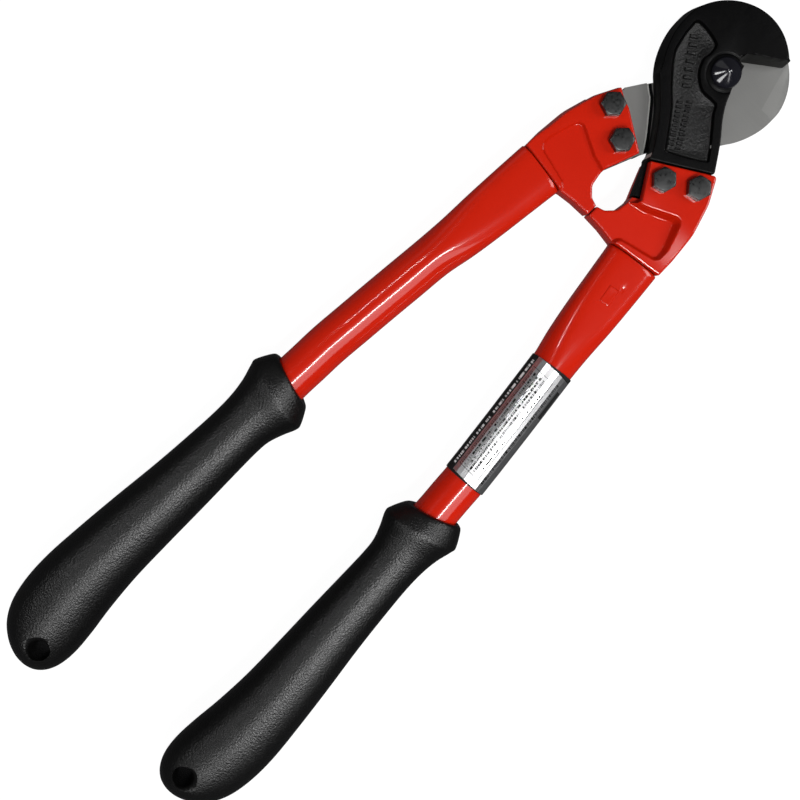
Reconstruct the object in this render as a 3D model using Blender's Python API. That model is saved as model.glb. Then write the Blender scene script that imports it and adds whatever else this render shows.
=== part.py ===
"""Two-handed, single-pivot cutter in bolt cutter form, closed, lying on its side.

Two forged blades turn on one domed pivot bolt. Each blade's tang is bolted into the fork of a
forged head, each head's spigot sits in a flattened steel tube, and each tube ends in a moulded
grip. The left half is the right half turned over about the length of the tool, but for its jaw:
the front jaw has a notch beside the pivot, and the rear jaw's edge passes close by the pivot.

Axes: +Y from the grips to the jaws, +X towards the right handle, +Z up out of the surface that
the tool lies on. The origin is on the pivot axis, at the flat end of the pivot bolt.
Shapes below are written in millimetres about the pivot axis at the middle of the blades'
thickness, and are scaled to metres when the meshes are made.
"""

import math

import bmesh
import bpy
from mathutils import Matrix, Vector

MM = 0.001

# Driving dimensions, in millimetres.
REST_DEPTH = 17.5  # middle of the blades above the surface that the tool lies on
GAP = 0.3  # clearance between touching pieces
BLADE_FACE = 10.35  # outer face of a blade from the middle plane
JAW_BACK = [  # round back of each jaw: degrees about the pivot and radius
    (50, 30.6), (66, 31.7), (80, 32.6), (97, 33.2), (120, 33.3), (145, 33.2), (162, 32.8),
    (172, 32.0), (182, 31.4), (193, 30.8), (205, 30.45), (224, 30.3),
]
STEP_RADIUS = 33.7  # tang's step, which swings past the back of the other jaw
FRONT_EDGE = (36.5, 8.3)  # cutting edge's direction from +X, and how far back from the pivot it is
REAR_EDGE = (128.5, -8.3)  # the same for the left half's blade, before it is turned over
EDGE_BEVEL = 1.2  # how far the jaw's face leans back over the blade's thickness
BOSS_RADIUS = 7.4  # blade around the pivot, on the mouth side
PIVOT_RADIUS = 5.0
PIVOT_HEAD_RADIUS = 7.0
PIVOT_HEAD_TOP = 15.9
PIVOT_NUT_ACROSS = 17.0
TANG_LOW, TANG_HIGH = -2.5, 5.5  # faces of the right half's tang
FORK_LOW, FORK_HIGH = -7.8, 10.8  # outer faces of the right half's fork
HEAD_RIM = 8.3  # raised rim of the head's body, above and below the middle plane
HEAD_FLOOR = 6.5  # floor of the head's pocket
FORK_EDGE = (3.6, -50.5)  # inner corner of the fork's end
FORK_ANGLE = 31.3  # direction of the fork's end, degrees from +X
SLOT_DEPTH = 17.0  # fork's end to slot floor
POCKET_DEPTH = 20.2  # fork's end to the pocket's edge
BOLT_CENTRES = {"inner": (12.95, -53.6), "outer": (27.0, -45.2)}
BOLT_RADIUS = 2.85
BOLT_ACROSS = 10.0
BOLT_HEAD = 4.2
NUT_HEIGHT = 4.5
WASHER_HEIGHT = 1.2
TUBE_RADIUS = 10.4
TUBE_WALL = 2.0
TUBE_END = -330.0
HANG_HOLE = (44.5, -406.0)
HANG_HOLE_RADIUS = 4.7
LABEL_SPAN = (-147.6, -214.6)
LABEL_THICKNESS = 0.35
LABEL_SLIT = 16.0  # degrees of the sleeve's circle left open at the back
ROUND = 32  # sides of a round piece

# Finishes: colour, roughness and how metallic.
RED_PAINT = ((0.52, 0.02, 0.015), 0.25, 0.0)
BLACK_STEEL = ((0.03, 0.03, 0.03), 0.45, 0.3)
BLACK_OXIDE = ((0.045, 0.05, 0.05), 0.35, 0.8)
GRIP_PLASTIC = ((0.015, 0.015, 0.015), 0.6, 0.0)
SILVER_FOIL = ((0.7, 0.7, 0.7), 0.3, 0.9)


# Curves in the plan view.
def polar(radius, degrees):
    angle = math.radians(degrees)
    return (radius * math.cos(angle), radius * math.sin(angle))


def arc(radius, start, end, count):
    """Points about the pivot axis from start to end degrees."""
    step = (end - start) / count
    return [polar(radius, start + step * i) for i in range(count + 1)]


def rounded(corners, steps=5):
    """Closed outline whose corners are (x, y, fillet radius)."""
    points = []
    for i, (x, y, radius) in enumerate(corners):
        here = Vector((x, y))
        back = (Vector(corners[i - 1][:2]) - here).normalized()
        ahead = (Vector(corners[(i + 1) % len(corners)][:2]) - here).normalized()
        if radius == 0:
            points.append((x, y))
            continue
        half = back.angle(ahead) / 2
        reach = radius / math.tan(half)
        centre = here + (back + ahead).normalized() * (radius / math.sin(half))
        start = here + back * reach - centre
        turn = start.angle_signed(here + ahead * reach - centre)
        for step in range(steps + 1):
            swung = Matrix.Rotation(-turn * step / steps, 2) @ start
            points.append(tuple(centre + swung))
    return points


def smooth(points, steps=4):
    """Curve through the points (Catmull-Rom), ends included."""
    ends = [points[0], *points, points[-1]]
    curve = []
    for before, start, end, after in zip(ends, ends[1:], ends[2:], ends[3:]):
        for step in range(steps):
            curve.append(blended(before, start, end, after, step / steps))
    return [*curve, tuple(points[-1])]


def blended(before, start, end, after, t):
    weights = (
        -0.5 * t + t * t - 0.5 * t**3,
        1 - 2.5 * t * t + 1.5 * t**3,
        0.5 * t + 2 * t * t - 1.5 * t**3,
        -0.5 * t * t + 0.5 * t**3,
    )
    rows = zip(before, start, end, after)
    return tuple(sum(w * value for w, value in zip(weights, row)) for row in rows)


def fork_line(along, across):
    """Point measured from the fork's inner corner: along its end, and across it towards the tube."""
    angle = math.radians(FORK_ANGLE)
    x = FORK_EDGE[0] + along * math.cos(angle) + across * math.sin(angle)
    y = FORK_EDGE[1] + along * math.sin(angle) - across * math.cos(angle)
    return (x, y)


# Meshes.
def new_mesh(name, bm):
    """Mesh in metres from a bmesh in millimetres, with its faces turned out."""
    bmesh.ops.remove_doubles(bm, verts=bm.verts, dist=1e-4)
    bmesh.ops.recalc_face_normals(bm, faces=bm.faces)
    bmesh.ops.scale(bm, vec=(MM, MM, MM), verts=bm.verts)
    mesh = bpy.data.meshes.new(name)
    bm.to_mesh(mesh)
    bm.free()
    return mesh


def prism(name, outline, low, high):
    bm = bmesh.new()
    corners = [bm.verts.new((x, y, low)) for x, y in outline]
    face = bm.faces.new(corners)
    raised = bmesh.ops.extrude_face_region(bm, geom=[face])["geom"]
    moved = [item for item in raised if isinstance(item, bmesh.types.BMVert)]
    bmesh.ops.translate(bm, vec=(0, 0, high - low), verts=moved)
    return new_mesh(name, bm)


def turned(name, profile, sides=ROUND):
    """Solid of revolution about Z from a profile of (radius, height), both ends on the axis or joined."""
    bm = bmesh.new()
    rings = []
    for radius, height in profile:
        angles = [math.tau * i / sides for i in range(sides)]
        ring = [(radius * math.cos(a), radius * math.sin(a), height) for a in angles]
        rings.append([bm.verts.new(point) for point in ring])
    closed = profile[0][0] > 0
    bridge(bm, rings, closed)
    return new_mesh(name, bm)


def bridge(bm, rings, closed):
    """Faces between one ring and the next, round to the first again if closed."""
    pairs = list(zip(rings, rings[1:]))
    if closed:
        pairs.append((rings[-1], rings[0]))
    for low, high in pairs:
        for i in range(len(low)):
            j = (i + 1) % len(low)
            bm.faces.new((low[i], low[j], high[j], high[i]))


def lofted(name, sections, closed=False):
    """Skin over sections of equal point counts, with end caps, or joined end to start if closed."""
    bm = bmesh.new()
    rings = [[bm.verts.new(point) for point in section] for section in sections]
    bridge(bm, rings, closed)
    if not closed:
        bm.faces.new(rings[0])
        bm.faces.new(rings[-1])
    return new_mesh(name, bm)


def oval(inner, outer, half_depth, power=2.0, count=ROUND):
    """Section from its two side points in the plan and half its depth in Z; a power over 2 squares it."""
    centre = Vector((inner[0] + outer[0], inner[1] + outer[1], 0)) / 2
    reach = Vector((outer[0] - inner[0], outer[1] - inner[1], 0)) / 2
    points = []
    for i in range(count):
        angle = math.tau * i / count
        across = math.copysign(abs(math.cos(angle)) ** (2 / power), math.cos(angle))
        up = math.copysign(abs(math.sin(angle)) ** (2 / power), math.sin(angle))
        points.append(centre + reach * across + Vector((0, 0, half_depth * up)))
    return points


def hexagon(across):
    radius = across / math.sqrt(3)
    return [polar(radius, 60 * i + 30) for i in range(6)]


def combined(name, base, joined=(), cut=()):
    """Mesh of base with other meshes joined to it and then others cut from it."""
    tools = [(mesh, "UNION") for mesh in joined] + [(mesh, "DIFFERENCE") for mesh in cut]
    body = bpy.data.objects.new(name, base)
    bpy.context.scene.collection.objects.link(body)
    helpers = [body]
    for mesh, operation in tools:
        helper = bpy.data.objects.new(mesh.name, mesh)
        bpy.context.scene.collection.objects.link(helper)
        helpers.append(helper)
        step = body.modifiers.new(mesh.name, "BOOLEAN")
        step.operation = operation
        step.solver = "EXACT"
        step.object = helper
    graph = bpy.context.evaluated_depsgraph_get()
    result = bpy.data.meshes.new_from_object(body.evaluated_get(graph))
    result.name = name
    for helper in helpers:
        bpy.data.objects.remove(helper)
    return result


def bore(name, centre, radius, low=-30.0, high=30.0):
    x, y = centre
    circle = [(x + dx, y + dy) for dx, dy in arc(radius, 0, 360 - 360 / 24, 23)]
    return prism(name, circle, low, high)


# The blades, drawn for the right half.
def edge_point(edge, along, back=0.0):
    """Point on a cutting edge's line at a distance along it, or that far back in the jaw."""
    turn, offset = edge
    across, forward = polar(offset + back, turn + 90), polar(along, turn)
    return (across[0] + forward[0], across[1] + forward[1])


# Sides of the neck: from the jaw's back to the fork, and from the mouth to the fork.
NECK_INNER = [(-17.0, -25.3), (-12.8, -29.3), (-8.4, -34.4), (-4.3, -40.0), (-0.4, -45.9), (1.9, -51.2)]
NECK_OUTER = [(7.9, -4.0), (10.4, -9.7), (14.5, -15.9), (20.6, -23.2), (28.7, -34.9)]


def front_throat():
    """Round the pivot from the neck, and by the notch to the edge."""
    notch = [(4.0, 8.6), (2.7, 10.6), edge_point(FRONT_EDGE, 9.6)]
    return [*arc(BOSS_RADIUS, -18, 50, 8), *notch]


def rear_throat():
    turn, offset = REAR_EDGE
    return arc(-offset, -18, turn - 92, 8)


def back_radius(degrees):
    """Radius of the jaw's back at an angle."""
    curve = smooth(JAW_BACK)
    for (before, low), (after, high) in zip(curve, curve[1:]):
        if before <= degrees <= after:
            return low + (high - low) * (degrees - before) / (after - before)
    return curve[0][1]


def tip_of(edge):
    """Distance along a cutting edge's line at which it meets the jaw's back, and the angle there."""
    along, angle = 30.0, 0.0
    for _ in range(8):
        x, y = edge_point(edge, along)
        angle = math.degrees(math.atan2(y, x))
        along = math.sqrt(back_radius(angle) ** 2 - edge[1] ** 2)
    return along, angle


def jaw_outline(edge, throat):
    """Back, neck and throat, with a straight cutting edge."""
    tip_along, tip_angle = tip_of(edge)
    blade_edge = [edge_point(edge, 11.0), edge_point(edge, tip_along - 0.8)]
    back = [polar(radius, angle) for angle, radius in smooth(JAW_BACK) if angle > tip_angle + 1.0]
    inner = smooth([back[-1], *NECK_INNER], 3)[1:]
    return [*blade_edge, *back, *inner, *smooth(NECK_OUTER[::-1], 3), *throat]


def tang_outline():
    """Tang from the step that clears the other blade to its end in the fork."""
    step = [*arc(STEP_RADIUS, -46, -59, 5), (10.9, -36.5), (5.6, -43.2), (2.2, -48.4)]
    lower = [(1.9, -50.6), (2.9, -53.2), (8.6, -66.4)]
    end = [fork_line(1.5, SLOT_DEPTH - GAP), fork_line(26.0, SLOT_DEPTH - GAP)]
    outer = [fork_line(27.6, 9.0), fork_line(28.2, 2.0), (28.0, -34.6), (24.9, -29.5)]
    return [*step, *lower, *end, *outer]


def mouth_wedge(edge):
    """Cutter that leans the jaw's face back from the cutting edge."""
    heel = BLADE_FACE + 1.0
    lean = EDGE_BEVEL * heel / BLADE_FACE
    bm = bmesh.new()
    sections = []
    for along in (9.6, 45.0):
        corners = [
            (*edge_point(edge, along), GAP / 2),
            (*edge_point(edge, along, lean), heel),
            (*edge_point(edge, along, -2.0), heel),
            (*edge_point(edge, along, -2.0), GAP / 2),
        ]
        sections.append([bm.verts.new(corner) for corner in corners])
    bridge(bm, sections, False)
    bm.faces.new(sections[0])
    bm.faces.new(sections[1])
    return new_mesh("mouth_wedge", bm)


def blade_mesh(edge, throat):
    plate = prism("plate", jaw_outline(edge, throat), GAP / 2, BLADE_FACE)
    tang = prism("tang", tang_outline(), TANG_LOW, TANG_HIGH)
    holes = [bore("pivot_bore", (0, 0), PIVOT_RADIUS + GAP)]
    holes += [bore("bolt_bore", centre, BOLT_RADIUS + GAP) for centre in BOLT_CENTRES.values()]
    return combined("blade", plate, [tang], [*holes, mouth_wedge(edge)])


# The head, drawn for the right half.
SEAM_INNER, SEAM_OUTER = (16.6, -88.3), (42.8, -84.6)
UPPER_EAR = [(12.4, -66.2, 2.0), (10.2, -70.2, 0)]  # inner side of the fork's upper plate
LOWER_EAR = [(7.0, -62.3, 0), (9.0, -67.3, 0), (8.8, -71.0, 0)]  # and of its lower plate


def fork_outline(ear):
    ends = [(*fork_line(-1.1, 0), 1.0), *ear]
    side = [(*fork_line(28.0, POCKET_DEPTH), 0), (36.6, -47.2, 12.0), (33.3, -40.2, 12.0)]
    return rounded([*ends, *side, (*fork_line(30.8, 0), 1.2)])


def body_outline():
    """Head below the fork: teardrop gap, stop boss, seam with the tube and outer side."""
    gap_side = smooth([(8.4, -66.0), (8.8, -70.0), (8.2, -74.8), (5.2, -78.8), (GAP / 2, -81.2)])
    stop = [(GAP / 2, -87.7), (9.0, -88.9)]
    side = smooth([(42.7, -83.0), (42.4, -75.0), (41.5, -65.0), (38.7, -53.2)])
    return [*gap_side, *stop, SEAM_INNER, SEAM_OUTER, *side]


def pocket_outline():
    """Floor inside the rim, open at the stop boss."""
    open_side = [(-4.0, -79.0, 0), (-4.0, -95.0, 0), (14.5, -95.0, 0), (15.5, -87.6, 2.0)]
    walls = [(35.7, -82.6, 4.0), (37.0, -72.0, 8.0), (33.6, -57.0, 3.0)]
    return rounded([*open_side, *walls, (*fork_line(4.0, POCKET_DEPTH), 0), (4.0, -70.0, 0)])


def slot_outline():
    corners = [fork_line(-20, -20), fork_line(-20, SLOT_DEPTH)]
    return [*corners, fork_line(60, SLOT_DEPTH), fork_line(60, -20)]


def spigot_mesh():
    """Tongue that fills the flattened end of the tube."""
    sections = []
    for inner, outer, half_depth, power in tube_sections()[:3]:
        inset = TUBE_WALL + GAP
        sections.append(oval(*narrowed(inner, outer, inset), half_depth - inset, power))
    root = [point + Vector((-0.5, 4.0, 0)) for point in sections[0]]
    return lofted("spigot", [root, *sections])


def head_mesh():
    middle = (TANG_LOW + TANG_HIGH) / 2
    forks = [prism("upper_fork", fork_outline(UPPER_EAR), middle, FORK_HIGH)]
    forks.append(prism("lower_fork", fork_outline(LOWER_EAR), FORK_LOW, middle + 0.1))
    body = prism("head_body", body_outline(), -HEAD_RIM, HEAD_RIM)
    slot = prism("slot", slot_outline(), TANG_LOW - GAP, TANG_HIGH + GAP)
    pockets = [
        prism("upper_pocket", pocket_outline(), HEAD_FLOOR, HEAD_RIM + 1),
        prism("lower_pocket", pocket_outline(), -HEAD_RIM - 1, -HEAD_FLOOR),
    ]
    holes = [bore("bolt_bore", centre, BOLT_RADIUS + GAP) for centre in BOLT_CENTRES.values()]
    return combined("head", body, [*forks, spigot_mesh()], [slot, *pockets, *holes])


# The tube and the grip, drawn for the right half.
def narrowed(inner, outer, inset):
    """Side points brought in towards each other by the inset."""
    start, end = Vector(inner), Vector(outer)
    step = (end - start).normalized() * inset
    return (start + step, end - step)


def tube_centre(y):
    """X of the tube's centreline."""
    route = [(-90, 29.6), (-147, 37.8), (-180, 41.7), (-212, 45.2), (-237, 46.7), (-262, 47.4)]
    for (y1, x1), (y2, x2) in zip(route, route[1:]):
        if y >= y2:
            return x1 + (x2 - x1) * (y - y1) / (y2 - y1)
    return 47.4 + (262 + y) * -0.0075


def tube_sections():
    """(inner side, outer side, half depth, power) from the head's seam to the end in the grip."""
    flattened = [
        ((17.1, -88.5), (43.5, -84.8), 7.4, 2.8),
        ((19.6, -105.0), (44.9, -101.7), 7.9, 2.6),
        ((22.0, -121.0), (46.1, -117.9), 8.9, 2.3),
        ((24.6, -136.0), (47.0, -133.6), 9.9, 2.1),
    ]
    sections = list(flattened)
    for y in (-149.0, -165.0, -180.0, -196.0, -212.0, -225.0, -237.0, -262.0, TUBE_END):
        sections.append((*round_sides(y, TUBE_RADIUS), TUBE_RADIUS, 2.0))
    return sections


def round_sides(y, radius):
    """Side points of a round section square to the centreline."""
    x = tube_centre(y)
    slope = math.atan2(tube_centre(y + 5) - tube_centre(y - 5), 10)
    dx, dy = radius * math.cos(slope), radius * -math.sin(slope)
    return ((x - dx, y - dy), (x + dx, y + dy))


def tube_skin(inset):
    skins = []
    for inner, outer, half_depth, power in tube_sections():
        skins.append(oval(*narrowed(inner, outer, inset), half_depth - inset, power))
    return skins


def tube_mesh():
    return lofted("tube", [*tube_skin(0), *tube_skin(TUBE_WALL)[::-1]], closed=True)


def grip_sections():
    """Outside of the grip from its oblique collar to its round end: (inner, outer, half depth)."""
    return [
        ((34.4, -240.0), (58.6, -231.9), 12.3),
        ((32.2, -241.4), (60.9, -233.2), 13.5),
        ((28.7, -248.4), (65.0, -240.4), 15.6),
        ((28.6, -251.6), (64.8, -243.6), 15.6),
        ((31.4, -257.8), (62.8, -251.5), 14.0),
        ((33.9, -265.0), (61.8, -260.5), 13.2),
        ((34.7, -273.0), (61.9, -271.5), 13.0),
        ((34.9, -287.0), (63.0, -286.0), 13.6),
        ((35.0, -308.0), (65.2, -308.0), 14.6),
        ((35.3, -333.0), (68.4, -333.0), 15.8),
        ((35.3, -355.0), (70.9, -355.0), 16.8),
        ((34.1, -374.0), (72.6, -374.0), 17.4),
        ((32.5, -388.0), (72.5, -388.0), 17.5),
        ((31.7, -400.0), (70.6, -400.0), 17.2),
        ((32.5, -408.5), (66.8, -408.5), 16.0),
        ((34.6, -414.2), (61.5, -414.2), 13.2),
        ((38.0, -418.2), (55.5, -418.2), 8.6),
        ((42.5, -420.3), (50.0, -420.3), 3.6),
    ]


def grip_mesh():
    """Closed shell: up the blind bore, round the collar's lip and down the outside."""
    bore_skin = []
    for inner, outer, half_depth, power in tube_sections():
        if outer[1] < -230 and inner[1] < -240:
            bore_skin.append(oval(*narrowed(inner, outer, -GAP), half_depth + GAP, power))
    floor = [point + Vector((0, -2.0, 0)) for point in bore_skin[-1]]
    mouth = oval((36.0, -239.6), (57.4, -232.3), TUBE_RADIUS + GAP)
    outside = [oval(inner, outer, depth) for inner, outer, depth in grip_sections()]
    shell = lofted("grip_shell", [floor, *bore_skin[::-1], mouth, *outside])
    return combined("grip", shell, cut=[bore("hang_hole", HANG_HOLE, HANG_HOLE_RADIUS)])


def label_mesh():
    """Printed foil wrapped round the right tube, open along a narrow slit underneath."""
    top, bottom = LABEL_SPAN
    low = TUBE_RADIUS + GAP
    rows = []
    for i in range(7):
        y = top + (bottom - top) * i / 6
        rows.append(sleeve_section(y, low, low + LABEL_THICKNESS))
    return lofted("label", rows)


def sleeve_section(y, low, high):
    """Outline of an open ring square to the tube's centreline."""
    inner, outer = round_sides(y, 1.0)
    centre = Vector(((inner[0] + outer[0]) / 2, y, 0))
    across = Vector((outer[0] - inner[0], outer[1] - inner[1], 0)).normalized()
    angles = [math.radians(-90 + LABEL_SLIT / 2 + (360 - LABEL_SLIT) * i / 26) for i in range(27)]
    points = []
    for radius, turn in ((low, angles), (high, angles[::-1])):
        for angle in turn:
            rise = Vector((0, 0, math.sin(angle)))
            points.append(centre + (across * math.cos(angle) + rise) * radius)
    return points


# Fasteners, with their axes on Z.
def pivot_bolt_mesh():
    head = BLADE_FACE + GAP
    cone = [(0, PIVOT_HEAD_TOP), (1.3, PIVOT_HEAD_TOP - 0.4), (6.1, head + 1.5)]
    flange = [(PIVOT_HEAD_RADIUS, head + 1.0), (PIVOT_HEAD_RADIUS, head), (PIVOT_RADIUS, head)]
    return turned("pivot_bolt", [*cone, *flange, (PIVOT_RADIUS, -REST_DEPTH), (0, -REST_DEPTH)])


def ring_mesh(name, inner, outer, height):
    corners = [(inner, 0), (outer, 0), (outer, height), (inner, height)]
    return turned(name, corners)


def nut_mesh(name, across, height, hole):
    return combined(name, prism(name, hexagon(across), 0, height), cut=[bore("thread", (0, 0), hole)])


def hex_bolt_mesh(name, under_head, tail):
    """Bolt whose head sits from under_head up, and whose shank ends at tail."""
    head = prism("bolt_head", hexagon(BOLT_ACROSS), under_head, under_head + BOLT_HEAD)
    shank = bore("shank", (0, 0), BOLT_RADIUS, tail, under_head + 1)
    return combined(name, head, [shank])


def split_washer_mesh():
    """Spring lock washer, a ring with one cut."""
    ring = ring_mesh("ring", BOLT_RADIUS + GAP, 5.0, WASHER_HEIGHT)
    split = prism("split", [(0, -0.4), (9, -0.4), (9, 0.4), (0, 0.4)], -1, WASHER_HEIGHT + 1)
    return combined("lock_washer", ring, cut=[split])


# Objects.
def material(name, finish):
    colour, roughness, metallic = finish
    made = bpy.data.materials.new(name)
    made.use_nodes = True
    shader = made.node_tree.nodes["Principled BSDF"]
    shader.inputs["Base Color"].default_value = (*colour, 1)
    shader.inputs["Roughness"].default_value = roughness
    shader.inputs["Metallic"].default_value = metallic
    return made


def empty(name, location, parent=None):
    made = bpy.data.objects.new(name, None)
    bpy.context.scene.collection.objects.link(made)
    made.location = location
    made.parent = parent
    return made


def place(name, mesh, finish, parent, location=(0, 0, 0), turned_over=False):
    """Object with its own mesh and material, at a location in millimetres from its parent."""
    made = bpy.data.objects.new(name, mesh.copy())
    bpy.context.scene.collection.objects.link(made)
    made.data.name = name
    made.data.materials.clear()
    made.data.materials.append(material(name, finish))
    made.data.shade_smooth()
    made.data.set_sharp_from_angle(angle=math.radians(35))
    made.parent = parent
    made.location = Vector(location) * MM
    if turned_over:
        made.rotation_euler = (0, math.pi, 0)
    return made


def add_half(side, parent, meshes):
    """Blade, head, tube, grip and their fasteners; the left half is turned over about Y."""
    over = side == "left"
    blade_name = "rear_blade" if over else "front_blade"
    place(blade_name, meshes[blade_name], BLACK_STEEL, parent, turned_over=over)
    place(side + "_head", meshes["head"], RED_PAINT, parent, turned_over=over)
    place(side + "_tube", meshes["tube"], RED_PAINT, parent, turned_over=over)
    place(side + "_grip", meshes["grip"], GRIP_PLASTIC, parent, turned_over=over)
    top, bottom = (-FORK_LOW, -FORK_HIGH) if over else (FORK_HIGH, FORK_LOW)
    for where, (x, y) in BOLT_CENTRES.items():
        add_bolt(f"{side}_{where}", (-x if over else x, y), top, bottom, parent)


def add_bolt(name, centre, top, bottom, parent):
    """Hex bolt from the front, with its lock washer and nut behind."""
    washer = bottom - GAP - WASHER_HEIGHT
    nut = washer - GAP - NUT_HEIGHT
    bolt = hex_bolt_mesh("hex_bolt", top + GAP, nut - GAP)
    place(name + "_bolt", bolt, BLACK_OXIDE, parent, (*centre, 0))
    place(name + "_lock_washer", split_washer_mesh(), BLACK_OXIDE, parent, (*centre, washer))
    nut_solid = nut_mesh("hex_nut", BOLT_ACROSS, NUT_HEIGHT, BOLT_RADIUS + GAP)
    place(name + "_nut", nut_solid, BLACK_OXIDE, parent, (*centre, nut))


def add_pivot(parent):
    washer_height = 1.3
    washer = -BLADE_FACE - GAP - washer_height
    nut_height = 4.6
    place("pivot_bolt", pivot_bolt_mesh(), BLACK_OXIDE, parent)
    ring = ring_mesh("ring", PIVOT_RADIUS + GAP, 9.5, washer_height)
    place("pivot_washer", ring, BLACK_OXIDE, parent, (0, 0, washer))
    nut = nut_mesh("nut", PIVOT_NUT_ACROSS, nut_height, PIVOT_RADIUS + GAP)
    place("pivot_nut", nut, BLACK_OXIDE, parent, (0, 0, washer - GAP - nut_height))


def main():
    for old in list(bpy.data.objects):
        bpy.data.objects.remove(old)
    right = empty("right_half", (0, 0, REST_DEPTH * MM))
    left = empty("left_half", (0, 0, 0), right)
    meshes = {"head": head_mesh(), "tube": tube_mesh(), "grip": grip_mesh()}
    meshes["front_blade"] = blade_mesh(FRONT_EDGE, front_throat())
    meshes["rear_blade"] = blade_mesh(REAR_EDGE, rear_throat())
    add_half("right", right, meshes)
    add_half("left", left, meshes)
    add_pivot(right)
    place("capacity_label", label_mesh(), SILVER_FOIL, right)


main()
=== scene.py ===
"""Long-handled cutter in bolt cutter form: its detailed pieces, materials and stage."""

import math

import bmesh
import bpy
import numpy as np
from mathutils import Matrix, Vector
from mathutils.bvhtree import BVHTree
from mathutils.geometry import delaunay_2d_cdt


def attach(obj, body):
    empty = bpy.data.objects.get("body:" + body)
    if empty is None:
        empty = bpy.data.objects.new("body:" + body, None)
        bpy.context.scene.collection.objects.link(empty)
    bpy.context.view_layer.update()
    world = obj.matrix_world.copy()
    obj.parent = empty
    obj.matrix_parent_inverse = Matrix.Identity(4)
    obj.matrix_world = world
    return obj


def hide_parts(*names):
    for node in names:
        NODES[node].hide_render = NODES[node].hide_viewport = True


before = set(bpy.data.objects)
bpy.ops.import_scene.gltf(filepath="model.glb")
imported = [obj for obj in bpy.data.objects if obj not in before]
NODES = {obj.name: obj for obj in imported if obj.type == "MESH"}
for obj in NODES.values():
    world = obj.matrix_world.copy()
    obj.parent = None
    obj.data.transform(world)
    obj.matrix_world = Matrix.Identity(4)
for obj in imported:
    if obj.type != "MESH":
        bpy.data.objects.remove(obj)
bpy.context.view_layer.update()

MM = 0.001
MIDDLE = 17.5  # height of the blades' middle plane above the floor, in millimetres

# Shapes are in millimetres about the pivot axis, drawn for the right half. The left half is the
# same shape turned over about Y.
GAP = 0.3
JAW_BACK = [
    (50, 30.6), (66, 31.7), (80, 32.6), (97, 33.2), (120, 33.3), (145, 33.2), (162, 32.8),
    (172, 32.0), (182, 31.4), (193, 30.8), (205, 30.45), (224, 30.3),
]
STEP_RADIUS = 33.7
FRONT_EDGE = (36.5, 8.3)
REAR_EDGE = (128.5, -8.3)
BLADE_LOW, BLADE_HIGH = 0.15, 10.35
TANG_LOW, TANG_HIGH = -2.5, 5.5
FORK_LOW, FORK_HIGH = -7.8, 10.8
SLOT_DEPTH = 17.0
POCKET_DEPTH = 20.2
FORK_EDGE = (3.6, -50.5)
FORK_ANGLE = 31.3
NECK_INNER = [
    (-17.0, -25.3), (-12.8, -29.3), (-8.4, -34.4), (-4.3, -40.0), (-0.4, -45.9), (1.9, -51.2),
]
NECK_OUTER = [(28.7, -34.9), (20.6, -23.2), (14.5, -15.9), (10.4, -9.7), (7.9, -4.0)]
BOLT_CENTRES = {"inner": (12.95, -53.6), "outer": (27.0, -45.2)}
BOLT_RADIUS = 2.85
BOLT_ACROSS = 10.0
BOLT_HEAD_HEIGHT = 4.2
NUT_HEIGHT = 4.5
LOCK_WASHER_THICKNESS = 1.2
PIVOT_RADIUS = 5.0
PIVOT_HEAD_RADIUS = 7.0
TUBE_RADIUS = 10.4
TUBE_WALL = 2.0
TUBE_END = -330.0
HANG_HOLE = (44.5, -406.0)

# Angles in degrees above which an edge is shaded sharp.
FORGED_SHARP = 32.0
ROUND_SHARP = 50.0
DOME_SHARP = 40.0
HEX_SHARP = 25.0


# Plane geometry.
def polar(radius, degrees):
    angle = math.radians(degrees)
    return (radius * math.cos(angle), radius * math.sin(angle))


def arc(radius, start, end, count, centre=(0, 0)):
    step = (end - start) / count
    turned = [polar(radius, start + step * i) for i in range(count + 1)]
    return [(x + centre[0], y + centre[1]) for x, y in turned]


def blended(before, start, end, after, t):
    weights = (
        -0.5 * t + t * t - 0.5 * t**3,
        1 - 2.5 * t * t + 1.5 * t**3,
        0.5 * t + 2 * t * t - 1.5 * t**3,
        -0.5 * t * t + 0.5 * t**3,
    )
    rows = zip(before, start, end, after)
    return tuple(sum(w * value for w, value in zip(weights, row)) for row in rows)


def smooth(points, steps=6):
    """Curve through the points (Catmull-Rom), ends included."""
    ends = [points[0], *points, points[-1]]
    curve = []
    for before, start, end, after in zip(ends, ends[1:], ends[2:], ends[3:]):
        for step in range(steps):
            curve.append(blended(before, start, end, after, step / steps))
    return [*curve, tuple(points[-1])]


def rounded(corners, steps=7):
    """Closed outline whose corners are (x, y, fillet radius)."""
    points = []
    for i, (x, y, radius) in enumerate(corners):
        here = Vector((x, y))
        back = (Vector(corners[i - 1][:2]) - here).normalized()
        ahead = (Vector(corners[(i + 1) % len(corners)][:2]) - here).normalized()
        if radius == 0:
            points.append((x, y))
            continue
        half = back.angle(ahead) / 2
        reach = radius / math.tan(half)
        centre = here + (back + ahead).normalized() * (radius / math.sin(half))
        start = here + back * reach - centre
        turn = start.angle_signed(here + ahead * reach - centre)
        for step in range(steps + 1):
            swung = Matrix.Rotation(-turn * step / steps, 2) @ start
            points.append(tuple(centre + swung))
    return points


def fork_line(along, across):
    """Point measured from the fork's inner corner: along its end, and across it to the tube."""
    angle = math.radians(FORK_ANGLE)
    x = FORK_EDGE[0] + along * math.cos(angle) + across * math.sin(angle)
    y = FORK_EDGE[1] + along * math.sin(angle) - across * math.cos(angle)
    return (x, y)


def anticlockwise(ring):
    p = np.array(ring, float)
    q = np.roll(p, -1, 0)
    area = (p[:, 0] * q[:, 1] - q[:, 0] * p[:, 1]).sum()
    return p if area > 0 else p[::-1].copy()


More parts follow.
